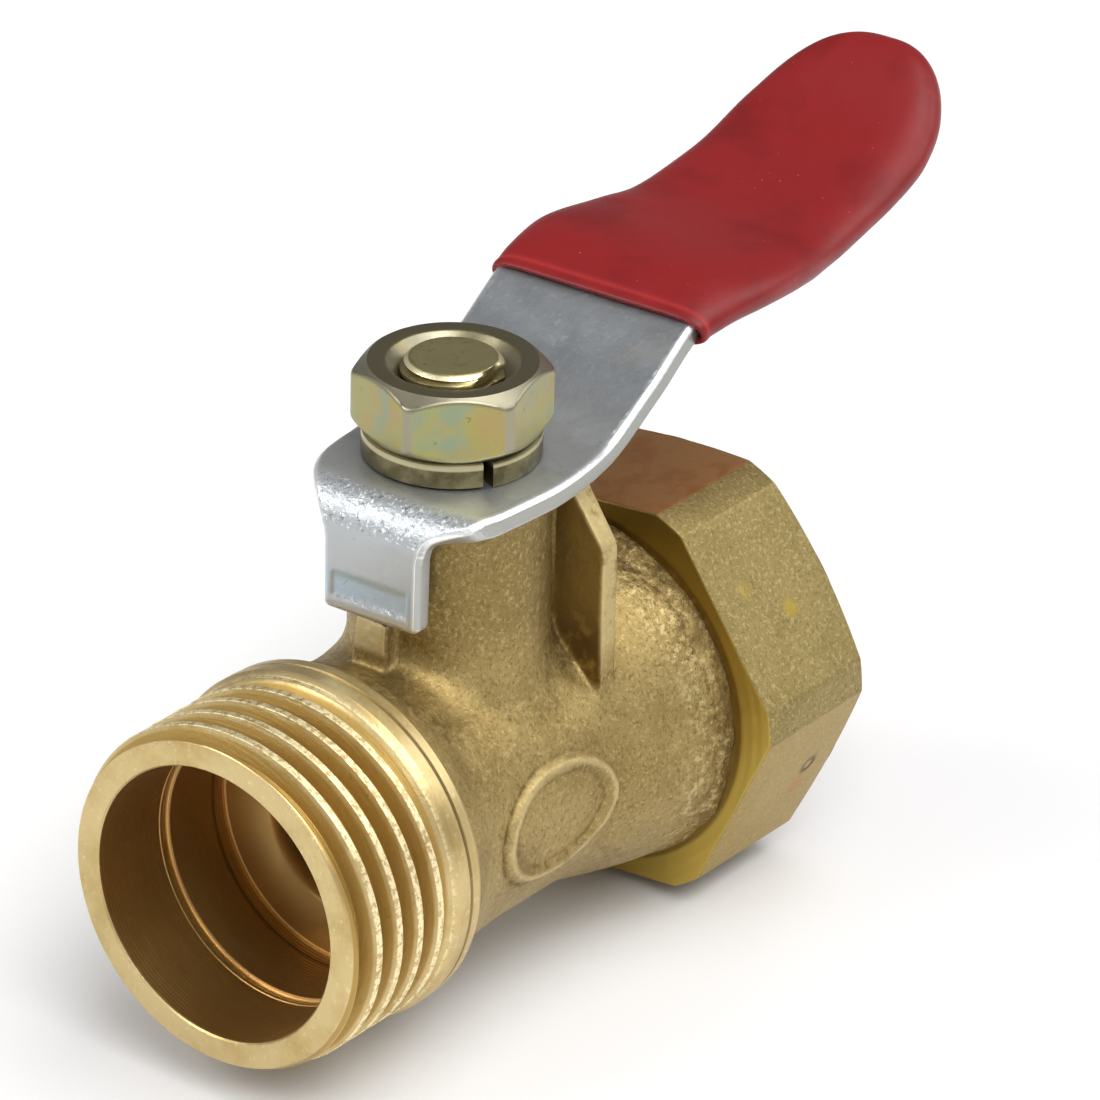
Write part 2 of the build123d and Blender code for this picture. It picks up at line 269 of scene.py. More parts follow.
def smooth_curve(knots, first_slope, last_slope):
    """Cubic curve through the knots as a function of the first coordinate, on numpy arrays."""
    xs, ys = (np.array([k[i] for k in knots], float) for i in (0, 1))
    slopes = np.empty(len(xs))
    slopes[1:-1] = (ys[2:] - ys[:-2]) / (xs[2:] - xs[:-2])
    slopes[0], slopes[-1] = first_slope, last_slope

    def value(x):
        x = np.asarray(x, float)
        i = np.clip(np.searchsorted(xs, x) - 1, 0, len(xs) - 2)
        h = xs[i + 1] - xs[i]
        t = np.clip((x - xs[i]) / h, 0, 1)
        return ((2 * t ** 3 - 3 * t ** 2 + 1) * ys[i] + (t ** 3 - 2 * t ** 2 + t) * h * slopes[i]
                + (3 * t ** 2 - 2 * t ** 3) * ys[i + 1] + (t ** 3 - t ** 2) * h * slopes[i + 1])
    return value


# ---------------- brass body
FORGING_START_X = -10.6         # inside the collar
FORGING_VOXEL = 0.16
TUBE_PROFILE = [(FORGING_START_X, 10.45), (-9.2, 9.95), (-7.2, 9.25), (-4.4, WAIST_R), (3.6, WAIST_R),
                (6.4, 9.6), (9.5, 10.25), (12.3, 10.75), (13.3, 10.8)]
tube_radius = smooth_curve(TUBE_PROFILE, -0.5, 0.0)
FIN_X0, FIN_X1, FIN_Y, FIN_TOP_Z = 4.2, 6.0, 7.6, 17.9
RING_X, RING_LENGTH, RING_RISE = -0.9, 5.2, 3.5          # half axes of the oval ring
RING_WIDTH, RING_HEIGHT = 0.85, 0.33
LUG_X, LUG_Y, LUG_WIDTH, LUG_TOP_Z = -6.95, 0.35, 2.3, 12.15


def smooth_min(a, b, k):
    h = np.clip(0.5 + 0.5 * (b - a) / k, 0, 1)
    return b * (1 - h) + a * h - k * h * (1 - h)


def smooth_max(a, b, k):
    return -smooth_min(-a, -b, k)


def fin_bevel(y, z):
    """Distance, nearly, from the slanted upper corner of a fin."""
    return np.abs(y) * 0.82 + z * 0.57 - 14.55


def oval_place(x, z):
    """1 on the ring's oval, less inside it."""
    return np.hypot((x - RING_X) / RING_LENGTH, z / RING_RISE)


def casting_distance(p):
    """Signed distance, in millimetres, to the forged outside of the body: neck, fins, ring and skin."""
    x, y, z = p.T
    around = np.hypot(y, z)
    oval = oval_place(x, z) + 1e-6
    slope = np.hypot((x - RING_X) / RING_LENGTH ** 2, z / RING_RISE ** 2) / oval + 1e-6
    band = np.abs((oval - 1) / slope + RING_WIDTH / 2)
    ring = RING_HEIGHT * np.clip((RING_WIDTH / 2 + 0.08 - band) / 0.22, 0, 1) * (np.abs(y) > 4)
    tube = around - tube_radius(x) - ring
    tube += 0.10 * np.exp(-((x - 11.9) / 0.25) ** 2)
    rim = np.clip((x - 10.6) / 1.2, 0, 1)
    tube -= rim * 0.20 * lattice_noise(p, 1.9, 5) + 0.05 * lattice_noise(p, 3.0, 8)
    tube = smooth_max(tube, np.abs(x - (RIM_X + FORGING_START_X) / 2) - (RIM_X - FORGING_START_X) / 2, 0.2)
    radius = np.hypot(x, y)
    neck = radius - NECK_R - 0.012 * np.clip(NECK_TOP_Z - z, 0, 12)
    neck = np.maximum(neck, np.maximum(z - NECK_TOP_Z + 0.02, -z))
    thick = (FIN_X1 - FIN_X0) / 2
    fin = smooth_max(np.abs(x - (FIN_X0 + FIN_X1) / 2) - thick + 0.03 * np.abs(y), np.abs(y) - FIN_Y, 0.22)
    fin = smooth_max(fin, fin_bevel(y, z), 0.22)
    fin = np.maximum(smooth_max(fin, z - FIN_TOP_Z, 0.15), -z)
    lug = smooth_max(np.abs(y - LUG_Y) - LUG_WIDTH / 2, LUG_X - x + 0.05 * (z - 10), 0.25)
    lug = smooth_max(smooth_max(lug, z - LUG_TOP_Z, 0.25), np.maximum(x, -z), 0.1)
    shape = smooth_min(smooth_min(tube, neck, 1.7), lug, 0.4)
    return smooth_min(shape, fin, 0.35)


def casting_grain(p):
    """Height of the forged skin's grain, in millimetres."""
    grain = 0.014 * lattice_noise(p, 0.9, 21) + 0.010 * lattice_noise(p, 0.42, 22)
    x, y, z = p.T
    foot = np.exp(-((np.hypot(x + 2.5, y) - 6.8) / 2.0) ** 2) * (z > 4)
    rim = np.clip((x - 9.5) / 2.5, 0, 1)
    pits = np.clip(lattice_noise(p, 0.62, 23) - 0.60, 0, 1)
    return grain * (1 + 1.0 * foot + 2.4 * rim) - pits * (0.05 + 0.10 * foot + 0.16 * rim)


def casting_blank():
    """Rough union of simple solids, just outside the final skin, to be remeshed and drawn onto it."""
    bm = bmesh.new()
    steps = 64
    rings = [[bm.verts.new((x, tube_radius(x) * cos(a), tube_radius(x) * sin(a)))
              for a in full_turn(steps)[:-1]] for x in np.linspace(FORGING_START_X, RIM_X, 40)]
    for a, b in zip(rings, rings[1:]):
        for i in range(steps):
            bm.faces.new((a[i], b[i], b[(i + 1) % steps], a[(i + 1) % steps]))
    bm.faces.new(rings[0])
    bm.faces.new(rings[-1])
    bmesh.ops.create_cone(bm, cap_ends=True, segments=steps, radius1=NECK_R + 0.2, radius2=NECK_R,
                          depth=NECK_TOP_Z, matrix=Matrix.Translation((0, 0, NECK_TOP_Z / 2)))
    foot = 2.0                                      # the lug and the fins start this far from the axes
    lug_centre = Matrix.Translation(((LUG_X - foot) / 2, LUG_Y, (LUG_TOP_Z + foot) / 2))
    lug_size = Matrix.Diagonal((-LUG_X - foot, LUG_WIDTH, LUG_TOP_Z - foot, 1.0))
    bmesh.ops.create_cube(bm, size=1.0, matrix=lug_centre @ lug_size)
    outline = [(foot, foot), (FIN_Y, foot), (FIN_Y, 14.6), (5.3, FIN_TOP_Z - 0.1), (foot, FIN_TOP_Z - 0.1)]
    for side in (-1, 1):
        front, back = ([bm.verts.new((x, side * y, z)) for y, z in outline] for x in (FIN_X0, FIN_X1))
        bm.faces.new(front)
        bm.faces.new(back)
        for i in range(len(outline)):
            j = (i + 1) % len(outline)
            bm.faces.new((front[i], front[j], back[j], back[i]))
    bmesh.ops.recalc_face_normals(bm, faces=bm.faces)
    bmesh.ops.scale(bm, vec=(MM, MM, MM), verts=bm.verts)
    return add_object("body_forging", take_mesh(bm, "casting"))


def hollow_cutters():
    """What is machined out of the forging: flow bore, seat pocket, ball cavity, socket, and gland bore."""
    bore, socket = INNER_BORE_R + 0.05, SPIGOT_R + 0.03
    outline = [(-12.0, 0.0), (-12.0, bore), (COLLAR_END_X, bore), (COLLAR_END_X, INNER_BORE_R - 0.14),
               (-9.65, 5.5), (-9.5, 5.3), (-8.9, PORT_R), (-SEAT_WEB_X, PORT_R), (-SEAT_WEB_X, SEAT_R),
               (-SEAT_FRONT_X, SEAT_R), (-SEAT_FRONT_X, CAVITY_R), (SPIGOT_END_X, CAVITY_R),
               (SPIGOT_END_X, socket), (RIM_X + 1, socket), (RIM_X + 1, 0.0)]
    yield spun("flow_cutter", full_turn(160), lambda angle: outline)
    flange_r, flange_z = 4.8, 9.9
    gland = [(0.5, 0.0), (0.5, flange_r), (flange_z, flange_r), (flange_z, GLAND_R),
             (NECK_TOP_Z + 1, GLAND_R), (NECK_TOP_Z + 1, 0.0)]
    yield spun("gland_cutter", full_turn(96), lambda angle: gland, axis="Z")


def mark_skin(mesh):
    """Marks where grime and painted shade gather on the forging, and which of its edges get a painted
    highlight.
    """
    x, y, z = mesh_points(mesh).T
    oval = oval_place(x, z)
    flank = (np.abs(y) > 6.0) * (np.hypot(y, z) < 10.2)
    foot = np.exp(-((np.hypot(x + 2.0, y * 0.8) - 7.2) / 1.6) ** 2) * (z > 7.0) * (z < 10)
    root = np.exp(-((np.abs(x - 5.1) - 1.3) / 0.7) ** 2) * np.clip((z - 6.0) / 3, 0, 1)
    rim = np.exp(-((x - 12.6) / 1.0) ** 2)
    crease = np.exp(-((oval - 1.045) / 0.035) ** 2) * np.clip(0.5 - (x - RING_X) / 8, 0.3, 1)
    crease += np.exp(-((oval - 0.76) / 0.035) ** 2) * 0.6
    # grime and painted shade: darker around the neck's foot, at the fin roots, near the rim and in the ring's
    # creases
    mark(mesh, "dirt_and_shade", np.clip(foot * 0.9 + root * 0.6 + rim * 0.7 + crease * flank, 0, 1))
    # painted highlight along the fins' outer edges and the ring's crest, stored as edge
    side = np.maximum(np.abs(y) - FIN_Y, fin_bevel(y, z)) / 0.16
    front = np.minimum(np.abs(x - FIN_X0 - 0.1), np.abs(x - FIN_X1 + 0.1)) / 0.16
    on_fin = np.clip((z - 6.4) / 2.4, 0, 1) * (np.abs(x - (FIN_X0 + FIN_X1) / 2) < 1.1) * (np.abs(y) > 4.5)
    crest = np.exp(-((oval - 0.93) / 0.05) ** 2) * flank * 0.45
    mark(mesh, "edge", np.exp(-side ** 2) * (0.45 + 0.55 * np.exp(-front ** 2)) * on_fin + crest)


def make_forging():
    """Body casting: the blank's voxel mesh, moved onto the signed distance, grained and machined hollow."""
    obj = casting_blank()
    apply_modifier(obj, "REMESH", mode="VOXEL", voxel_size=FORGING_VOXEL * MM)
    points = mesh_points(obj.data)
    step = 0.01
    for _ in range(5):
        value = casting_distance(points)
        slope = np.stack([(casting_distance(points + axis * step) - value) / step for axis in np.eye(3)], 1)
        length = np.maximum((slope ** 2).sum(1), 0.2)
        points -= np.clip(value / length, -0.3, 0.3)[:, None] * slope
    normal = slope / np.sqrt((slope ** 2).sum(1))[:, None]
    x, z = points[:, 0], points[:, 2]
    free = np.clip((x + 10.0) / 0.6, 0, 1) * np.clip((RIM_X - 0.15 - x) / 0.2, 0, 1)
    free *= np.clip((NECK_TOP_Z - 0.1 - z) / 0.2, 0, 1)
    points += normal * (casting_grain(points) * free)[:, None]
    points[:, 0] = np.minimum(points[:, 0], RIM_X)
    place_points(obj.data, points)
    obj.data.update()
    for cutter in list(hollow_cutters()):
        apply_modifier(obj, "BOOLEAN", operation="DIFFERENCE", solver="EXACT", object=cutter)
        bpy.data.objects.remove(cutter)
    finish_mesh(obj.data, 50)
    mark_skin(obj.data)
    return obj


def male_end_section(angle):
    """Outline of the machined male end at one angle: thread, collar, bore."""
    start, run_out = MALE_END_X + 0.08, THREAD_END_X
    face_r = 9.88

    def radius(along, phase):
        fade = min(1.0, max(0.0, (run_out - along) / 1.1))
        r = MALE_MAJOR_R - THREAD_DEPTH * thread_shape(phase) * fade
        return min(r, face_r + (along - MALE_END_X) * 0.45)

    bore = [(COLLAR_END_X, INNER_BORE_R), (BORE_STEP_X + 0.02, INNER_BORE_R)]
    bore += offset(BORE_STEP_X, BORE_R, [(0, 0), (-0.62, 0), (-0.66, -0.05), (-0.70, 0)])
    bore += offset(MALE_END_X, BORE_R, [(0.10, 0), (0, 0.10)])
    face = offset(MALE_END_X, face_r, [(0, -0.10), (0.02, -0.03), (0.05, 0)])
    collar = offset(run_out, COLLAR_R, [(0.15, -0.12), (0.4, 0)])
    collar += offset(0, COLLAR_R, [(-11.3, 0), (-11.22, -0.14), (-11.12, -0.14), (-11.02, -0.03)])
    collar += offset(COLLAR_END_X, COLLAR_R, [(-0.30, -0.05), (-0.06, -0.18), (0, -0.35)])
    return bore + face + thread_points(angle, start, run_out, radius) + collar


# ---------------- hex connector
def hex_end_section(angle):
    """Outline of the hex connector at one angle: spigot, near face, flats, far chamfer, female thread."""
    r = min(rounded_hex_radius(angle, HEX_FLATS, HEX_ROUNDING, HEX_TURN), HEX_CORNER_R)
    cone = 0.41                                     # far chamfer: rise along X per unit of radius
    far = FEMALE_END_X - (r - 11.9) * cone
    inner_start, inner_end = FEMALE_END_X - HEX_THREAD_LENGTH, FEMALE_END_X - 0.02

    def radius(along, phase):
        fade = min(1.0, max(0.0, (along - inner_start) / 1.2))
        root = FEMALE_MINOR_R + THREAD_DEPTH * (1 - thread_shape(phase)) * fade
        return max(root, 10.1 - (FEMALE_END_X - along) * 1.3)

    outside = [(SPIGOT_END_X, SEAT_R + 0.15), (SPIGOT_END_X, SPIGOT_R - 0.2),
               (SPIGOT_END_X + 0.2, SPIGOT_R), (RIM_X, SPIGOT_R), (RIM_X, 9.4)]
    outside += offset(RIM_X, r, [(0, -0.20), (0.03, -0.09), (0.09, -0.03), (0.20, 0), (3, 0)])
    outside += offset(far, r, [(-3, 0), (-0.12, 0), (-0.03, -0.015), (0.05, -0.12)])
    outside += offset(FEMALE_END_X, 12.0, [(-0.05, 0), (0, -0.15), (0, -1.85)])
    thread = thread_points(angle, inner_start, inner_end, radius)[::-1]
    inside = [(inner_start - 0.8, PORT_R + 0.1), (inner_start - 0.95, PORT_R), (SEAT_WEB_X, PORT_R),
              (SEAT_WEB_X, SEAT_R), (SPIGOT_END_X + 0.15, SEAT_R)]
    return outside + thread + inside


# ---------------- nut, washer
NUT_TURN, NUT_FLATS = radians(-18.0), 10.2
NUT_FACE_R, COUNTERSINK_R = 4.95, 3.85
STUD_PITCH = 1.0


def nut_section(angle):
    r = rounded_hex_radius(angle, NUT_FLATS, 0.9, NUT_TURN)
    low, high = nut_low.z, nut_high.z
    drop = 0.05 + (r - NUT_FLATS / 2) * 0.75       # the turned chamfer's depth, more at the corners
    top, bottom = high - drop, low + drop

    def radius(along, phase):
        bore = 3.06 - 0.5 * thread_shape(phase)
        return max(bore, COUNTERSINK_R - (high - along), 3.4 - (along - low) * 1.2)

    steps = np.arange(0.4, high - low - 0.35, 0.15)
    outside = offset(low, NUT_FACE_R, [(0, -1.5), (0, -0.3), (0.01, -0.1)])
    outside += offset(bottom, r, [(0, -0.2), (0.07, -0.09), (0.18, -0.025)])
    outside += [(min(max(low + step, bottom + 0.34), top - 0.34), r) for step in steps]
    outside += offset(top, r, [(-0.18, -0.025), (-0.07, -0.09), (0, -0.2)])
    outside += offset(high, NUT_FACE_R, [(-0.01, -0.1), (0, -0.3), (0, -0.65)])
    outside += offset(high, COUNTERSINK_R, [(0, 0.14), (-0.02, 0.03)])
    return outside + thread_points(angle, low, high - 0.05, radius, STUD_PITCH)[::-1]


def make_nut():
    """The nut, with the border around each flat marked."""
    obj = spun("lever_hex_nut", hex_angles(NUT_TURN), nut_section, axis="Z", sharp=30)
    x, y, z = mesh_points(obj.data).T
    turn = (np.arctan2(y, x) - NUT_TURN + pi / 6) % (pi / 3) - pi / 6
    across = np.abs(np.hypot(x, y) * np.sin(turn)) - (NUT_FLATS / 2 * tan(pi / 6) - 1.15)
    height = np.abs(z - (nut_low.z + nut_high.z) / 2) - ((nut_high.z - nut_low.z) / 2 - 1.05)
    border = np.hypot(np.maximum(across, 0), np.maximum(height, 0)) - 0.62
    mark(obj.data, "edge", np.clip(border / 0.30, 0, 1))
    return obj


def make_spring_washer():
    """Split ring with square section; its ends stand slightly apart in height."""
    split, gap, rise = radians(-118.5), radians(6.8), 0.13
    steps = 120
    angles = [split + gap / 2 + (2 * pi - gap) * i / steps for i in range(steps + 1)]
    low, high = washer_low.z, washer_high.z - rise
    inner, outer, c = 3.1, washer_high.x, 0.14
    outline = [(low + c, outer), (high - c, outer), (high - 0.04, outer - 0.04), (high, outer - c),
               (high, inner + c), (high - c, inner), (low + c, inner), (low, inner + c), (low, outer - c),
               (low + 0.04, outer - 0.04)]
    verts = [(r * cos(a), r * sin(a), z + rise * i / steps)
             for i, a in enumerate(angles) for z, r in outline]
    return make_object("spring_lock_washer", verts, capped_faces(len(angles), len(outline)), 32)


# ---------------- stem
STUD_FLAT = 2.5                 # from the axis to the stud's flat
SHAFT_R, GROOVE_R = 3.74, 2.68
O_RING_Z = (12.3, 15.3)
TANG_HALF = (1.25, 3.5)         # half its thickness and half its width
FLANGE_R, FLANGE_LOW_Z, FLANGE_HIGH_Z = 4.6, 7.9, 9.1


def stem_section(angle):
    """Outline of the stem at one angle: tang, flange, O-ring grooves, shaft, threaded end with its flat."""
    across = min(TANG_HALF[1], TANG_HALF[0] / max(abs(cos(angle)), 1e-6))
    flat = STUD_FLAT / max(-sin(angle - LEVER_YAW), 0.2)
    shoulder = PLATE_TOP_Z - PLATE

    def radius(along, phase):
        turned = min(3.0 - 0.6 * thread_shape(phase) * min(1.0, (along - shoulder) / 0.6),
                     2.78 + (STEM_TOP_Z - 0.26 - along) * 0.9)
        return min(turned, flat)

    low = offset(stem_low.z, across, [(0, -across), (0, -0.2), (0.2, 0)]) + [(FLANGE_LOW_Z, across)]
    low += offset(FLANGE_LOW_Z, FLANGE_R, [(0, -0.1), (0.1, 0)])
    low += offset(FLANGE_HIGH_Z, FLANGE_R, [(-0.1, 0), (0, -0.1), (0, SHAFT_R - FLANGE_R)])
    grooves = []
    for z in O_RING_Z:
        grooves += [(z - 0.7, SHAFT_R), (z - 0.7, GROOVE_R), (z + 0.7, GROOVE_R), (z + 0.7, SHAFT_R)]
    neck = [(shoulder - 0.12, SHAFT_R), (shoulder, SHAFT_R - 0.12)]
    thread = thread_points(angle, shoulder, STEM_TOP_Z - 0.30, radius, STUD_PITCH)
    top = offset(STEM_TOP_Z, 0, [(-0.26, min(2.78, flat)), (-0.21, min(2.74, flat)), (-0.06, min(2.52, flat)),
                                 (-0.015, 2.46), (0, 2.36), (-0.03, 1.5), (-0.04, 0)])
    return low + grooves + neck + thread + top


# ---------------- lever
PLATE_RISE = [(5.0, PLATE_TOP_Z), (10.2, 22.2), (14.3, 24.5), (17.0, 25.1), (20.0, 25.1), (24.0, 24.6),
              (28.0, 24.2), (32.0, 24.55), (36.0, 25.3), (40.0, 26.7), (47.3, 30.6)]
plate_top = smooth_curve(PLATE_RISE, 0.0, 0.5)
BEND_X, BEND_R = -5.6, 2.4
TAB_HALF, TAB_BOTTOM_Z, TAB_CORNER = 3.3, 12.75, 0.5
BEND_LENGTH = (BEND_R - PLATE / 2) * pi / 2
TAB_END = BEND_X - BEND_LENGTH - (PLATE_TOP_Z - BEND_R - TAB_BOTTOM_Z)
# flat pattern, each side from the tip to the tab: (distance from the stem, distance to the side)
FAR_EDGE = [(45.1, -0.35), (44.2, 1.8), (41.5, 4.2), (36.0, 5.6), (28.0, 6.0), (20.0, 7.0), (14.3, 6.85),
            (10.5, 6.85), (6.0, 6.75), (2.0, 6.5), (-0.9, 6.3), (-2.5, 6.25), (-4.2, 6.05), (-5.6, 5.5),
            (-6.6, 4.75), (-7.7, 3.9), (-8.5, 3.4), (-9.5, TAB_HALF)]
NEAR_EDGE = [(45.1, -0.35), (44.2, -2.4), (41.5, -4.8), (36.0, -6.1), (28.0, -6.5), (20.0, -7.25),
             (14.3, -6.85), (10.5, -6.85), (6.4, -6.95), (3.8, -7.3), (1.5, -7.5), (-0.5, -7.5),
             (-2.2, -7.3), (-3.9, -7.05), (-5.5, -6.75), (-6.6, -6.1), (-7.1, -5.2), (-7.6, -4.2),
             (-8.0, -3.7), (-8.6, -3.45), (-9.5, -TAB_HALF)]


def turn_to_lever(points):
    """From the lever's own frame to the row frame: a turn about Z."""
    p = np.asarray(points, float)
    c, s = cos(LEVER_YAW), sin(LEVER_YAW)
    return np.stack([p[:, 0] * c - p[:, 1] * s, p[:, 0] * s + p[:, 1] * c, p[:, 2]], 1)


def through(points, spacing=0.45):
    """Smooth line through the points, without its last point."""
    p = np.asarray(points, float)
    p = np.vstack([2 * p[0] - p[1], p, 2 * p[-1] - p[-2]])
    line = []
    for a, b, c, d in zip(p, p[1:], p[2:], p[3:]):
        steps = max(2, round(float(np.linalg.norm(c - b)) / spacing))
        for t in np.arange(steps) / steps:
            line.append(tuple(0.5 * (2 * b + (c - a) * t + (2 * a - 5 * b + 4 * c - d) * t ** 2
                                     + (3 * b - a - 3 * c + d) * t ** 3)))
    return line


def lever_outline():
    """Flat pattern of the lever, anticlockwise from the tip: far side, tab, near side."""
    far, near = through(FAR_EDGE), through(NEAR_EDGE)
    corner = [(TAB_END + TAB_CORNER * (1 - sin(a)), TAB_HALF - TAB_CORNER * (1 - cos(a)))
              for a in np.linspace(0, pi / 2, 8)]
    return far + corner + [(x, -y) for x, y in corner[::-1]] + near[:0:-1]


def inset_loop(points, distance):
    """Closed anticlockwise loop moved inwards by a distance."""
    p = np.asarray(points)
    forward, back = np.roll(p, -1, 0) - p, p - np.roll(p, 1, 0)
    forward /= np.linalg.norm(forward, axis=1)[:, None]
    back /= np.linalg.norm(back, axis=1)[:, None]
    along = forward + back
    along /= np.maximum(np.linalg.norm(along, axis=1), 0.3)[:, None]
    return p + distance * np.stack([-along[:, 1], along[:, 0]], 1)


def d_loop():
    """The hole in the head, round with one flat, clockwise, so that insetting it makes it larger."""
    hole, flat = 3.05, asin((STUD_FLAT + 0.05) / 3.05)
    return [(hole * cos(a), hole * sin(a)) for a in np.linspace(pi + flat, -flat, 36)]


def make_lever():
    """The lever: both loops of the flat pattern with rounded edges, capped, cut into strips, and bent."""
    loops = [lever_outline(), d_loop()]
    rings = [(0.55, 0.0), (0.34, 0.0), (0.26, 0.03), (0.06, 0.20), (0.01, 0.27), (0.0, 0.38),
             (0.0, PLATE - 0.22), (0.03, PLATE - 0.10), (0.10, PLATE - 0.03), (0.20, PLATE), (0.45, PLATE)]
    # painted highlight along the rounded top edge, carried by the edge attribute
    bright = [0.0, 0.3, 1.0, 1.0, 0.5] + [0.0] * 6
    verts, shine, faces, caps = [], [], [], []
    for loop in loops:
        starts = []
        for (distance, depth), value in zip(rings, bright):
            starts.append(len(verts))
            verts += [(x, y, depth) for x, y in inset_loop(loop, distance)]
            shine += [value] * len(loop)
        count = len(loop)
        for a, b in zip(starts, starts[1:]):
            faces += [(a + i, b + i, b + (i + 1) % count, a + (i + 1) % count) for i in range(count)]
        caps.append((starts[0], starts[-1], count))
    for which in (0, 1):
        rows = [range(cap[which], cap[which] + cap[2]) for cap in caps]
        order = [i for row in rows for i in row]
        flat = tessellate_polygon([[Vector((*verts[i][:2], 0)) for i in row] for row in rows])
        faces += [tuple(order[i] for i in triangle) for triangle in flat]
    bm = bmesh.new()
    edge = bm.verts.layers.float.new("edge")
    made = [bm.verts.new(v) for v in verts]
    for vert, value in zip(made, shine):
        vert[edge] = value
    for face in faces:
        bm.faces.new([made[i] for i in face])
    cuts = [(x, 0) for x in np.arange(5.0, 46.0, 0.7)]
    cuts += [(BEND_X - BEND_LENGTH * i / 12, 0) for i in range(13)]
    cuts += [(x, 0) for x in np.arange(BEND_X - BEND_LENGTH - 0.1, TAB_END + 0.5, -0.14)]
    cuts += [(y, 1) for y in np.arange(-2.75, 2.8, 0.1375)]
    for place, axis in cuts:
        normal = Vector((0, 1, 0) if axis else (1, 0, 0))
        bmesh.ops.bisect_plane(bm, geom=bm.verts[:] + bm.edges[:] + bm.faces[:], dist=1e-4,
                               plane_co=normal * place, plane_no=normal)
    bmesh.ops.recalc_face_normals(bm, faces=bm.faces)
    for vert in bm.verts:
        vert.co = bent_place(*vert.co)
    bmesh.ops.triangulate(bm, faces=[f for f in bm.faces if len(f.verts) > 4])
    bmesh.ops.scale(bm, vec=(MM, MM, MM), verts=bm.verts)
    bmesh.ops.rotate(bm, matrix=Matrix.Rotation(LEVER_YAW, 3, "Z"), cent=(0, 0, 0), verts=bm.verts)
    bmesh.ops.recalc_face_normals(bm, faces=bm.faces)
    mesh = take_mesh(bm, "lever_plate")
    finish_mesh(mesh, 40)
    return add_object("lever_plate", mesh)


def stamped_depth(down, y):
    """How far the tab's face is pressed in: a plain shallow band with a toothed lower edge."""
    top, bottom = PLATE_TOP_Z - 15.4, PLATE_TOP_Z - 13.75
    tooth = 0.2 * abs(sin(y * pi / 0.55))
    inside = min(1.0, max(0.0, (down - top) / 0.5)) * min(1.0, max(0.0, (bottom + tooth - down) / 0.14))
    return 0.10 * inside * min(1.0, max(0.0, (2.6 - abs(y)) / 0.14))


def bent_place(x, y, depth):
    """Where a point of the flat pattern lies on the bent lever. depth goes down from the top face."""
    if x > 5.0:
        slope = float(plate_top(x + 0.01) - plate_top(x - 0.01)) / 0.02
        length = hypot(1.0, slope)
        return (x + depth * slope / length, y, float(plate_top(x)) - depth / length)
    if x >= BEND_X:
        return (x, y, PLATE_TOP_Z - depth)
    turn = min((BEND_X - x) / BEND_LENGTH, 1.0) * pi / 2
    straight = max(0.0, BEND_X - BEND_LENGTH - x)
    reach = BEND_R - depth
    drop = BEND_R - reach * cos(turn) + straight
    if depth < PLATE / 2:
        reach -= stamped_depth(drop, y)
    return (BEND_X - reach * sin(turn), y, PLATE_TOP_Z - drop)


# ---------------- grip
GRIP_WIDTH = [(14.3, 7.40), (17.0, 7.72), (20.0, 8.03), (24.0, 7.72), (28.0, 7.12), (32.0, 6.84),
              (36.0, 6.72), (40.0, 6.60)]
GRIP_RISE = [(14.3, 23.86), (17.0, 24.42), (20.0, 24.45), (24.0, 23.97), (28.0, 23.58), (32.0, 23.92),
             (36.0, 24.62), (40.0, 26.00), (44.0, 28.37), (47.5, 30.13)]
grip_half = smooth_curve(GRIP_WIDTH, 0.12, -0.04)
grip_middle = smooth_curve(GRIP_RISE, 0.42, 0.5)
GRIP_START, GRIP_END, GRIP_ROUND = 14.3, 45.7, 8.0
GRIP_HALF_THICK, LIP_HALF_THICK = 1.485, 1.10
LIP_LENGTH = 3.0                # over which the sleeve thickens behind its open end
GRIP_SIDES = 72
LIP_STEPS = [(1.1, 1.3), (0.62, 0.5), (0.50, 0.10), (0.40, 0.02), (0.22, 0.0), (0.10, 0.05), (0.03, 0.16),
             (0.0, 0.30), (0.01, 0.46), (0.06, 0.66), (0.05, 0.95), (0.0, 1.4)]       # (inward, back)


def grip_ring(place, width, thick):
    """One cross-section: boxy at the open end, rounder towards the tip."""
    slope = float(grip_middle(place + 0.05) - grip_middle(place - 0.05)) / 0.1
    length = hypot(1.0, slope)
    corner = 0.34 - 0.16 * max(0.0, 1 - (place - GRIP_START) / 3) + 0.3 * max(0.0, (place - 42) / 4) ** 2
    side = -0.05 - 0.0075 * place
    points = []
    for a in full_turn(GRIP_SIDES)[:-1]:
        y = width * np.sign(cos(a)) * abs(cos(a)) ** corner + side
        z = thick * sin(a)
        points.append((place - z * slope / length, y, float(grip_middle(place)) + z / length))
    return points


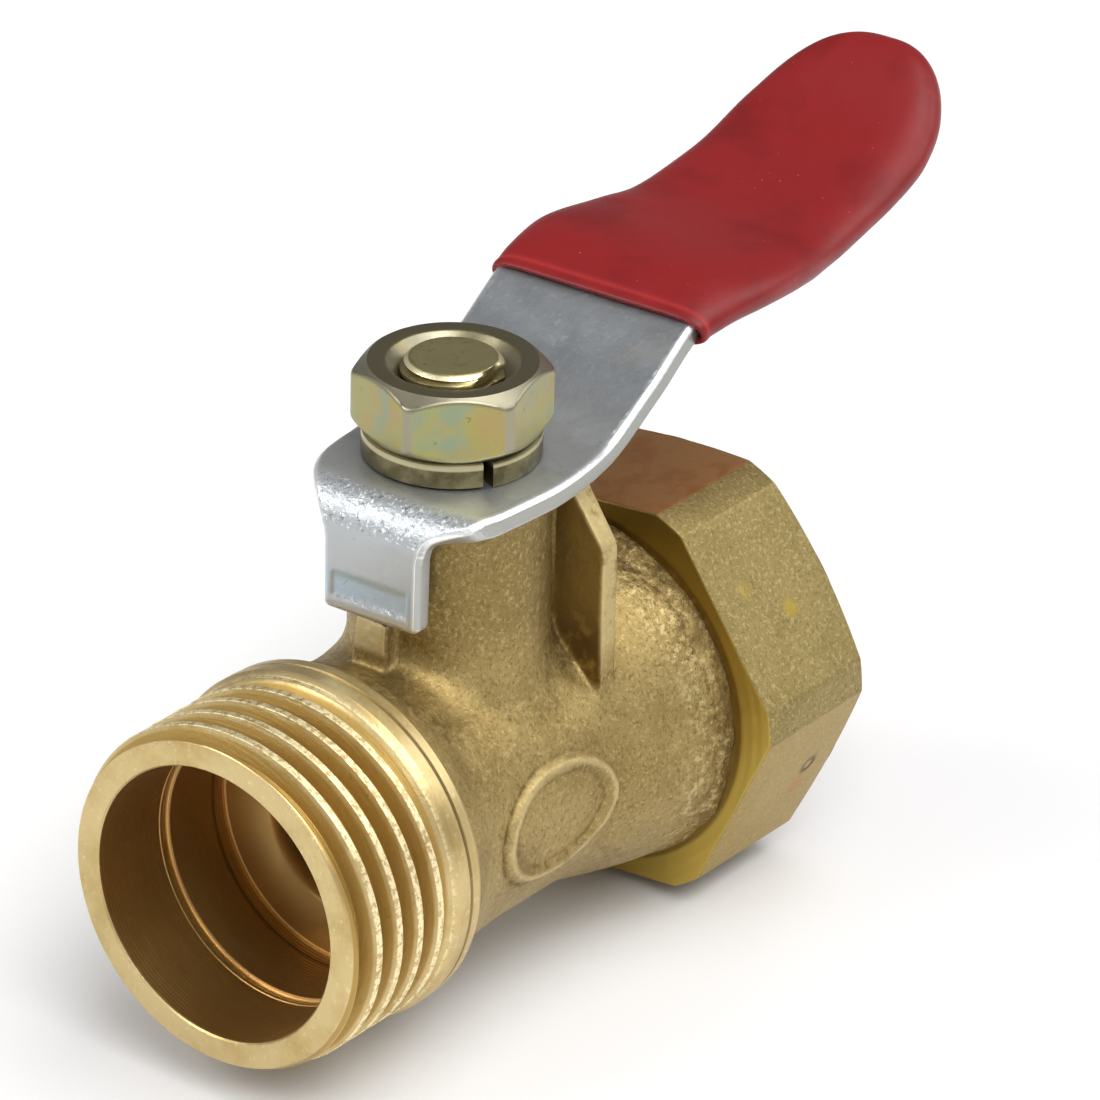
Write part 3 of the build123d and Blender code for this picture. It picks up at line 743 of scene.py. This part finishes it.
def make_grip():
    """Dipped vinyl sleeve: thin lip at its open end, crowned all along, closed round tip."""
    def half_thick(x):
        return LIP_HALF_THICK + (GRIP_HALF_THICK - LIP_HALF_THICK) * min(1.0, (x - GRIP_START) / LIP_LENGTH)

    rings = []
    for inward, back in LIP_STEPS:
        x = GRIP_START + back
        rings.append(grip_ring(x, float(grip_half(x)) - inward * 0.8, half_thick(x) - inward * 0.75))
    for x in np.arange(GRIP_START + 2.0, GRIP_END - GRIP_ROUND, 0.55):
        rings.append(grip_ring(x, float(grip_half(x)), half_thick(x)))
    for a in np.linspace(0, pi / 2, 26)[1:]:
        x = GRIP_END - GRIP_ROUND * (1 - sin(a))
        across = max(cos(a), 0.0) ** 0.92
        thin = max(0.0, 1 - max(0.0, (x - GRIP_END + 1.7) / 1.7) ** 2.3) ** 0.5
        half = float(grip_half(min(x, 40.0)))
        rings.append(grip_ring(x, max(half * across, 0.02), max(GRIP_HALF_THICK * thin, 0.01)))
    verts = [p for ring in rings for p in ring]
    obj = make_object("grip_sleeve", turn_to_lever(verts), capped_faces(len(rings), GRIP_SIDES), 60)
    apply_modifier(obj, "SUBSURF", levels=1, render_levels=1)
    points = mesh_points(obj.data)
    wave = 0.04 * lattice_noise(points, 5.0, 61) + 0.015 * lattice_noise(points, 1.9, 62)
    normals = np.empty(len(points) * 3)
    obj.data.vertices.foreach_get("normal", normals)
    points += normals.reshape(-1, 3) * wave[:, None]
    place_points(obj.data, points)
    finish_mesh(obj.data, 60)
    back = points @ np.array([cos(LEVER_YAW), sin(LEVER_YAW), 0.0]) - GRIP_START
    # painted highlight along the lip, just behind the sleeve's open end
    mark(obj.data, "edge", np.exp(-((back - 0.36) / 0.16) ** 2))
    return obj


# ---------------- materials
def srgb(r, g, b):
    """Linear colour from 0-255 display values."""
    def channel(v):
        v /= 255
        return v / 12.92 if v <= 0.04045 else ((v + 0.055) / 1.055) ** 2.4
    return (channel(r), channel(g), channel(b), 1.0)


def fill(tree, node, inputs):
    """Sets each input to a number or a colour, or links it to another node's output."""
    for socket, value in inputs.items():
        if isinstance(value, (int, float, tuple)):
            node.inputs[socket].default_value = value
        else:
            tree.links.new(value, node.inputs[socket])


def add_node(tree, kind, inputs=None, **settings):
    node = tree.nodes.new("ShaderNode" + kind)
    for key, value in settings.items():
        setattr(node, key, value)
    fill(tree, node, inputs or {})
    return node


class Shade:
    """Builds one node material. Lengths are in millimetres, in the piece's own frame."""

    def __init__(self, name, colour, metallic, roughness):
        self.material = bpy.data.materials.new(name)
        self.material.use_nodes = True
        self.tree = self.material.node_tree
        self.surface = self.tree.nodes["Principled BSDF"]
        self.colour, self.roughness, self.height = srgb(*colour), roughness, None
        look = {"Base Color": self.colour, "Metallic": metallic, "Roughness": roughness}
        fill(self.tree, self.surface, look)
        place = self.node("TexCoord").outputs["Object"]
        self.coords = self.node("VectorMath", {0: place, "Scale": 1 / MM}, operation="SCALE").outputs[0]

    def node(self, kind, inputs=None, **settings):
        return add_node(self.tree, kind, inputs, **settings)

    def math(self, operation, a, b=0.0):
        return self.node("Math", {0: a, 1: b}, operation=operation).outputs[0]

    def axis(self, name):
        return self.node("SeparateXYZ", {0: self.coords}).outputs[name]

    def radius(self, a="Y", b="Z"):
        """Distance from the axis that is square to a and b."""
        squares = [self.math("POWER", self.axis(name), 2.0) for name in (a, b)]
        return self.math("SQRT", self.math("ADD", *squares))

    def normal(self, name):
        """One part of the face's direction in the piece's own frame, so that it turns with the piece."""
        world = self.node("NewGeometry").outputs["True Normal"]
        local = self.node("VectorTransform", {0: world}, vector_type="NORMAL", convert_from="WORLD",
                          convert_to="OBJECT").outputs[0]
        return self.node("SeparateXYZ", {0: local}).outputs[name]

    def attribute(self, name):
        return self.node("Attribute", attribute_name=name).outputs["Fac"]

    def noise(self, size, detail=3.0, rough=0.55, stretch=(1, 1, 1)):
        """Noise from 0 to 1 with features about size millimetres across."""
        vector = self.coords
        if stretch != (1, 1, 1):
            vector = self.node("VectorMath", {0: vector, 1: stretch}, operation="MULTIPLY").outputs[0]
        inputs = {"Vector": vector, "Scale": 1 / size, "Detail": detail, "Roughness": rough}
        return self.node("TexNoise", inputs).outputs["Fac"]

    def between(self, value, low, high):
        """Smooth step from 0 at low to 1 at high; low may be the larger. The next four use it: by place,
        by distance from an axis (the flow axis if none is named), by a face's direction, and by noise."""
        inputs = {"Value": value, "From Min": min(low, high), "From Max": max(low, high),
                  "To Min": float(low > high), "To Max": float(low <= high)}
        return self.node("MapRange", inputs, interpolation_type="SMOOTHSTEP").outputs["Result"]

    def along(self, name, low, high):
        return self.between(self.axis(name), low, high)

    def around(self, low, high, *axes):
        return self.between(self.radius(*axes), low, high)

    def facing(self, name, low, high):
        return self.between(self.normal(name), low, high)

    def patches(self, low, high, *noise):
        return self.between(self.noise(*noise), low, high)

    def waves(self, value, rate):
        return self.math("SINE", self.math("MULTIPLY", value, rate))

    def spot(self, centre, size):
        """1 around a point, fading to 0 at a distance."""
        away = self.node("VectorMath", {0: self.coords, 1: centre}, operation="DISTANCE").outputs["Value"]
        return self.between(away, size, size * 0.35)

    def mask(self, *values):
        result = values[0]
        for value in values[1:]:
            result = self.math("MULTIPLY", result, value)
        return result

    def tint(self, colour, *factors):
        """Lays a colour over the base colour by the product of the factors, masks or numbers."""
        inputs = {"Factor": self.mask(*factors), 6: self.colour, 7: srgb(*colour)}
        self.colour = self.node("Mix", inputs, data_type="RGBA").outputs[2]
        return self

    def rough(self, amount, factor):
        """Adds amount times the mask to the roughness."""
        self.roughness = self.math("ADD", self.math("MULTIPLY", factor, amount), self.roughness)
        return self

    def raise_by(self, amount, *factors):
        """Adds a bump height in millimetres."""
        step = self.math("MULTIPLY", self.mask(*factors), amount)
        self.height = step if self.height is None else self.math("ADD", self.height, step)
        return self

    def done(self, strength=1.0):
        fill(self.tree, self.surface, {"Base Color": self.colour, "Roughness": self.roughness})
        if self.height is not None:
            bump = self.node("Bump", {"Strength": strength, "Distance": MM, "Height": self.height})
            fill(self.tree, self.surface, {"Normal": bump.outputs["Normal"]})
        return self.material


def cast_brass():
    s = Shade("cast_brass", (164, 142, 90), 0.85, 0.42)
    s.tint((148, 126, 76), s.patches(0.42, 0.66, 3.6, 4))
    s.tint((128, 108, 62), s.along("Z", 8.5, 12.0), 0.7)
    s.tint((204, 184, 132), s.patches(0.48, 0.70, 0.28, 3, 0.75), 0.5)
    s.tint((108, 88, 46), s.patches(0.50, 0.66, 0.26, 3, 0.75, (1.1, 1.0, 0.9)), 0.6)
    # grime with painted shade in the hollows and creases of the forging
    s.tint((96, 76, 38), s.attribute("dirt_and_shade"), s.patches(0.36, 0.62, 0.8, 5, 0.7), 0.85)
    # painted highlight on the lug's front face, toward the male end
    s.tint((222, 204, 156), s.along("X", -6.5, -6.75), s.along("Z", 9.9, 10.5),
           s.along("Y", LUG_Y + 1.1, LUG_Y + 0.8), s.facing("X", -0.6, -0.8), 0.8)
    front = s.mask(s.facing("X", -0.55, -0.85), s.along("X", 3.0, 3.6), s.along("Z", 5.5, 6.5))
    s.tint((148, 120, 62), front, s.patches(0.20, 0.50, 1.6, 4, 0.65, (1, 1, 0.4)))
    s.tint((104, 78, 36), front, s.along("Z", 11.5, 8.0), s.patches(0.30, 0.55, 1.1, 4, 0.65))
    # painted highlight on the fin edges and the ring's crest
    s.tint((236, 216, 160), s.attribute("edge"), s.patches(0.20, 0.50, 0.9, 3, 0.6))
    rim = s.along("X", 8.6, 10.4)
    s.tint((222, 203, 152), rim, s.patches(0.50, 0.64, 0.55, 4, 0.7), 0.5)
    s.tint((92, 72, 36), rim, s.patches(0.54, 0.66, 0.6, 4, 0.7, (1.1, 1.0, 0.9)), 0.65)
    # painted shade inside the flow bore
    inside = s.mask(s.around(8.6, 8.4), s.along("X", -5.0, -6.0))
    s.tint((164, 130, 76), inside)
    # painted highlight on the bore's step at the collar's end
    s.tint((250, 226, 176), s.around(8.02, 8.05), s.along("X", -9.9, -10.0))
    s.rough(0.14, s.noise(0.8, 3)).rough(0.2, s.attribute("dirt_and_shade")).rough(-0.1, inside)
    outside = s.math("SUBTRACT", 1.0, inside)
    s.raise_by(0.045, s.noise(0.36, 4, 0.75), outside).raise_by(0.07, s.noise(1.4, 3, 0.6), outside)
    s.raise_by(0.19, s.noise(0.75, 4, 0.7), rim)
    return s.done(0.8)


def machined_brass():
    s = Shade("machined_brass", (206, 184, 132), 0.9, 0.30)
    s.tint((186, 160, 104), s.patches(0.42, 0.68, 2.6, 4, 0.65, (1.0, 0.5, 0.5)))
    s.tint((228, 208, 160), s.patches(0.55, 0.75, 0.5, 4, 0.7), 0.8)
    # painted shade inside the bore, a little lighter towards the collar
    inside = s.mask(s.around(8.62, 8.50), s.along("X", -20.95, -20.7))
    s.tint((166, 125, 61), inside, 0.8)
    s.tint((178, 136, 72), inside, s.along("X", -13.6, -11.4), 0.6)
    threads = s.along("X", THREAD_END_X + 0.2, THREAD_END_X - 0.2)
    # painted shade in the thread's grooves
    valley = s.mask(s.around(10.24, 10.05), s.around(8.9, 9.1),
                    s.along("X", MALE_END_X + 0.12, MALE_END_X + 0.2), threads)
    s.tint((172, 140, 72), valley, 0.85)
    # painted highlight on the thread's crests
    crest = s.mask(s.around(10.33, 10.375), threads)
    s.tint((250, 234, 188), crest, s.patches(0.40, 0.54, 0.40, 3, 0.7))
    # painted shade in the collar's groove
    s.tint((104, 82, 44), s.along("X", -11.34, -11.24), s.along("X", -10.96, -11.06), 0.7)
    s.tint((112, 84, 44), s.patches(0.62, 0.72, 0.40, 4, 0.75), 0.5)
    # painted highlights on the bore's step and, fainter and broken, at the small groove behind it
    s.tint((250, 222, 170), s.along("X", BORE_STEP_X - 0.06, BORE_STEP_X - 0.01),
           s.along("X", BORE_STEP_X + 0.12, BORE_STEP_X + 0.04), s.around(8.6, 8.5))
    s.tint((196, 156, 96), s.along("X", BORE_STEP_X - 0.72, BORE_STEP_X - 0.68),
           s.along("X", BORE_STEP_X - 0.60, BORE_STEP_X - 0.64), s.around(8.6, 8.5),
           s.patches(0.48, 0.56, 0.8, 3, 0.6), 0.5)
    s.rough(0.16, s.noise(1.2, 4, 0.6)).rough(0.12, valley).rough(0.08, crest)
    s.raise_by(0.018, s.noise(0.30, 2, 0.5, (3.2, 0.06, 0.06))).raise_by(0.022, s.noise(0.24, 3, 0.7))
    s.raise_by(0.006, s.waves(s.axis("X"), 26.0), inside)
    return s.done(0.8)


def blasted_brass():
    s = Shade("blasted_brass", (150, 133, 84), 0.85, 0.42)
    s.tint((142, 125, 76), s.patches(0.42, 0.66, 4.5, 4))
    s.tint((198, 180, 130), s.patches(0.50, 0.68, 0.26, 3, 0.75), 0.6)
    s.tint((112, 94, 52), s.patches(0.50, 0.66, 0.24, 3, 0.75, (1.1, 1.0, 0.9)), 0.6)
    top = s.facing("Z", 0.93, 0.985)
    s.tint((200, 152, 96), top, 0.9)
    s.tint((180, 122, 68), top, s.patches(0.46, 0.62, 3.0, 3), 0.6)
    # painted light from below on the lower flats that face the near side
    s.tint((196, 164, 92), s.facing("Z", -0.3, -0.5), s.facing("Y", -0.5, -0.7), 0.6)
    s.tint((176, 152, 50), s.spot((18.9, -10.4, 6.1), 0.8), 0.6)
    s.tint((172, 150, 64), s.spot((16.1, -9.1, 7.9), 0.8), 0.4)
    dent = (20.3, -11.1, -4.6)
    s.tint((98, 68, 32), s.spot(dent, 1.0), 0.9)
    s.tint((170, 146, 98), s.spot(dent, 0.45))
    s.tint((176, 116, 54), s.spot((20.2, -10.3, -6.2), 0.9), 0.5)
    near = s.along("X", RIM_X + 0.10, RIM_X + 0.02)
    s.tint((190, 162, 76), near)
    s.tint((138, 108, 40), near, s.along("Z", -1.0, 9.0), 0.75)
    # painted shadow on the near face, next to the body's rim
    s.tint((112, 84, 36), near, s.around(11.35, 11.1), 0.7)
    inner = s.around(10.9, 10.5)
    s.tint((200, 172, 110), inner)
    s.rough(-0.12, near).rough(0.14, s.noise(0.6, 3, 0.6))
    grain = s.math("SUBTRACT", 1.0, s.math("MAXIMUM", near, inner))
    s.raise_by(0.035, s.noise(0.26, 3, 0.75), grain)
    s.raise_by(-0.20, s.spot(dent, 0.8))
    s.raise_by(0.004, s.waves(s.radius(), 9.0), near)
    return s.done(0.8)


def yellow_zinc():
    s = Shade("yellow_zinc", (152, 147, 126), 0.9, 0.28)
    side = s.mask(s.between(s.math("ABSOLUTE", s.normal("Z")), 0.25, 0.10),
                  s.between(s.attribute("edge"), 0.9, 0.2))
    s.tint((158, 154, 106), side)
    s.tint((160, 154, 84), side, s.patches(0.38, 0.64, 3.2, 3, 0.5), 0.8)
    s.tint((168, 142, 98), side, s.patches(0.48, 0.70, 2.8, 3, 0.5, (1.3, 0.8, 1.1)), 0.6)
    s.tint((128, 152, 132), side, s.patches(0.48, 0.70, 2.6, 3, 0.5, (0.9, 1.2, 1.0)), 0.7)
    s.tint((184, 160, 148), side, s.facing("X", 0.1, 0.5), 0.7)
    s.tint((116, 108, 80), s.facing("Z", 0.75, 0.97), 0.9)
    s.tint((140, 130, 92), s.around(3.95, 3.85, "X", "Y"), s.along("Z", nut_high.z - 0.9, nut_high.z - 0.8),
           s.patches(0.30, 0.60, 2.4, 3, 0.5))
    s.tint((96, 86, 58), s.patches(0.66, 0.74, 0.5, 3, 0.7), 0.5)
    s.rough(0.14, s.noise(0.9, 3, 0.6))
    s.raise_by(0.015, s.noise(0.5, 3, 0.6))
    return s.done(0.7)


def washer_zinc():
    s = Shade("washer_zinc", (116, 109, 81), 0.9, 0.30)
    s.tint((90, 83, 57), s.patches(0.42, 0.66, 1.2, 4, 0.6))
    # painted highlight along the washer's top
    s.tint((186, 178, 142), s.along("Z", washer_high.z - 0.42, washer_high.z - 0.30))
    s.rough(0.14, s.noise(0.6, 3, 0.6))
    s.raise_by(0.02, s.noise(0.35, 3, 0.7, (1, 1, 3)))
    return s.done(0.7)


def stem_brass():
    s = Shade("stem_brass", (158, 146, 104), 0.9, 0.30)
    end = s.mask(s.along("Z", STEM_TOP_Z - 0.10, STEM_TOP_Z - 0.06), s.around(2.5, 2.3, "X", "Y"))
    s.tint((138, 130, 92), end, 0.85)
    # painted highlight on the rim of the stud's end
    s.tint((244, 234, 190), s.along("Z", STEM_TOP_Z - 0.40, STEM_TOP_Z - 0.32),
           s.around(2.50, 2.60, "X", "Y"))
    s.tint((96, 86, 50), s.patches(0.56, 0.68, 0.5, 4, 0.7), 0.5)
    s.rough(0.2, end).rough(0.1, s.noise(0.7, 3))
    s.raise_by(0.03, s.noise(0.35, 3, 0.7))
    return s.done(0.7)


def zinc_plate():
    s = Shade("zinc_plate", (156, 159, 162), 0.9, 0.34)
    s.tint((146, 149, 152), s.patches(0.40, 0.66, 4.0, 4, 0.55))
    # painted light: the head, near the nut, lighter
    s.tint((200, 202, 200), s.along("X", 10.0, 5.0), 0.9)
    s.tint((180, 183, 184), s.patches(0.52, 0.72, 0.5, 4, 0.7), 0.6)
    s.tint((158, 154, 140), s.patches(0.56, 0.74, 5.5, 3, 0.5), 0.5)
    # painted highlight on the bend, with painted glints; painted light on the tab's front face
    bend = s.mask(s.facing("X", -0.15, -0.45), s.facing("Z", 0.05, 0.25), s.along("X", -4.5, -5.5))
    face = s.mask(s.facing("X", -0.8, -0.95), s.along("Z", 19.0, 18.0))
    s.tint((184, 188, 191), s.math("MAXIMUM", bend, s.mask(face, 0.9)))
    s.tint((250, 252, 252), bend, s.patches(0.54, 0.64, 0.30, 3, 0.7))
    s.tint((120, 124, 128), bend, s.patches(0.56, 0.66, 0.34, 3, 0.7, (1.1, 1.0, 0.9)), 0.7)
    s.tint((170, 190, 206), face, s.along("Z", 15.6, 15.2), s.along("Z", 13.7, 14.0), 0.7)
    s.tint((160, 146, 116), face, s.along("Z", 13.6, 12.9), 0.6)
    s.tint((96, 100, 106), s.patches(0.66, 0.73, 0.34, 3, 0.75), 0.6)
    # painted highlight along the plate's rounded edges
    s.tint((246, 248, 250), s.attribute("edge"))
    # painted light: the sides facing -Y get one grey of their own
    side = s.between(s.math("ABSOLUTE", s.normal("Z")), 0.3, 0.1)
    s.tint((164, 164, 158), side, s.facing("Y", -0.4, -0.7), 0.9)
    s.rough(0.18, s.noise(1.3, 4, 0.6)).rough(-0.12, s.attribute("edge"))
    s.raise_by(0.030, s.noise(0.4, 4, 0.7)).raise_by(0.03, s.noise(2.4, 3, 0.5))
    s.raise_by(0.08, bend, s.noise(0.45, 3, 0.7))
    return s.done(0.8)


def red_vinyl():
    s = Shade("red_vinyl", (126, 15, 17), 0.0, 0.36)
    s.tint((112, 9, 12), s.patches(0.42, 0.64, 6.0, 3))
    s.tint((196, 96, 88), s.patches(0.75, 0.78, 0.32, 2, 0.5), 0.6)
    # painted highlight along the lip
    s.tint((176, 48, 48), s.attribute("edge"), 0.45)
    s.tint((96, 12, 16), s.patches(0.68, 0.76, 0.8, 3, 0.6), 0.25)
    s.rough(0.16, s.noise(1.4, 3, 0.6))
    s.raise_by(0.03, s.noise(2.2, 3, 0.5)).raise_by(0.010, s.noise(0.30, 3, 0.65))
    s.surface.inputs["Specular IOR Level"].default_value = 0.4
    return s.done(0.8)


def even_finish(name, look, cloud, sizes, gloss, bump, strength):
    """Soft clouds of a second colour, uneven gloss and a fine bump. sizes are the grain of each."""
    s = Shade(name, *look)
    s.tint(cloud, s.patches(0.45, 0.65, sizes[0]))
    s.rough(gloss, s.noise(sizes[1])).raise_by(bump, s.noise(sizes[2]))
    s.done(strength)
    return s


def chromed_ball():
    look = (214, 216, 220), 1.0, 0.08
    return even_finish("chromed_ball", look, (186, 190, 196), (3.0, 0.9, 0.5), 0.08, 0.004, 0.5).material


def ptfe():
    look = (236, 236, 228), 0.0, 0.42
    s = even_finish("ptfe", look, (222, 220, 206), (1.6, 0.8, 0.30), 0.10, 0.010, 0.6)
    fill(s.tree, s.surface, {"Subsurface Weight": 0.15, "Subsurface Scale": MM})
    return s.material


def o_ring_rubber():
    look = (30, 30, 31), 0.0, 0.50
    return even_finish("o_ring_rubber", look, (46, 46, 46), (0.8, 0.5, 0.2), 0.12, 0.010, 0.6).material


def floor_paint():
    s = Shade("studio_floor", (238, 238, 238), 0.0, 0.75)
    s.tint((234, 234, 235), s.patches(0.4, 0.6, 60.0, 2))
    return s.done()


def dress(obj, material):
    obj.data.materials.clear()
    obj.data.materials.append(material)
    return obj


# ---------------- pieces
forging = make_forging()
male_end = spun("body_male_end", full_turn(360), male_end_section, sharp=24)
hex_end = spun("hex_connector", hex_angles(HEX_TURN), hex_end_section, sharp=28)
stem = spun("lever_stem", full_turn(144), stem_section, axis="Z")
pieces = [(forging, cast_brass(), "housing", "body", "cast_brass"),
          (male_end, machined_brass(), "housing", "body", "cast_brass"),
          (hex_end, blasted_brass(), "housing", "end_connector", "blasted_brass"),
          (stem, stem_brass(), "handle", "stem", "turned_brass"),
          (make_lever(), zinc_plate(), "handle", "lever", "zinc_lever"),
          (make_grip(), red_vinyl(), "handle", "lever_grip", "red_vinyl"),
          (make_spring_washer(), washer_zinc(), "handle", "spring_washer", "spring_steel"),
          (make_nut(), yellow_zinc(), "handle", "lever_nut", "yellow_zinc")]
for piece, material, rides_on, node, slot_name in pieces:
    dress(piece, material)
    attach(piece, rides_on)
    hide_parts(node)

ptfe_finish, rubber_finish = ptfe(), o_ring_rubber()
for node, finish in (("ball", chromed_ball()), ("seat_inlet", ptfe_finish), ("seat_outlet", ptfe_finish),
                     ("stem_thrust_washer", ptfe_finish), ("stem_o_ring_lower", rubber_finish),
                     ("stem_o_ring_upper", rubber_finish)):
    dress(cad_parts[node], finish)


# ---------------- stage, camera
def make_floor(height):
    """Wide flat disc."""
    rings, angles = [60, 160, 400, 900, 1500], full_turn(72)[:-1]
    verts = [(r * cos(a), r * sin(a), height / MM) for r in rings for a in angles]
    faces = loop_faces(len(rings), len(angles)) + [tuple(range(len(angles)))]
    return make_object("studio_floor", verts, faces)


floor = dress(make_floor(cad_box[0].z), floor_paint())


# square lamps: name, place, target, size in metres, power in watts
for name, place, target, size, power in (("key_light", (-0.30, -0.42, 0.62), (0, 0, 0), 0.45, 3.2),
                                         ("left_light", (-0.50, 0.36, 0.44), (0, 0, 0.005), 0.36, 2.2),
                                         ("top_light", (0.12, -0.25, 0.75), (0, 0, 0), 0.60, 3.4),
                                         ("right_light", (0.55, -0.40, 0.40), (0, 0, 0), 0.40, 1.2)):
    light = bpy.data.lights.new(name, "AREA")
    light.size, light.energy = size, power
    lamp = add_object(name, light)
    lamp.location = place
    lamp.rotation_euler = (Vector(target) - Vector(place)).to_track_quat("-Z", "Y").to_euler()

# white sky, dimmer towards one side, so that polished faces have something dark to show
world = bpy.data.worlds.new("studio")
world.use_nodes = True
sky = world.node_tree
direction = add_node(sky, "TexCoord").outputs["Generated"]
toward = add_node(sky, "VectorMath", {0: direction, 1: (0.71, 0.53, 0.46)}, operation="DOT_PRODUCT")
dim = add_node(sky, "MapRange", {"Value": toward.outputs["Value"], "From Min": 0.45, "From Max": 0.95,
                                 "To Min": 0.42, "To Max": 0.22}, interpolation_type="SMOOTHSTEP")
fill(sky, sky.nodes["Background"], {"Color": (1.0, 1.0, 1.0, 1.0), "Strength": dim.outputs["Result"]})
bpy.context.scene.world = world
bpy.context.scene.view_settings.view_transform = "Standard"

azimuth, elevation, roll = radians(-52.976), radians(27.406), radians(1.338)
lens = bpy.data.cameras.new("photo_camera")
lens.lens, lens.sensor_width = 269.4, 36.0
lens.clip_start, lens.clip_end = 0.01, 20.0
camera = add_object("photo_camera", lens)
aim = Matrix.Rotation(azimuth, 4, "Z") @ Matrix.Rotation(pi / 2 - elevation, 4, "X")
away = Matrix.Translation(Vector((5.953, 12.370, 472.78)) * MM)      # right, up and back from the origin
camera.matrix_world = aim @ Matrix.Rotation(roll, 4, "Z") @ away
bpy.context.scene.camera = camera
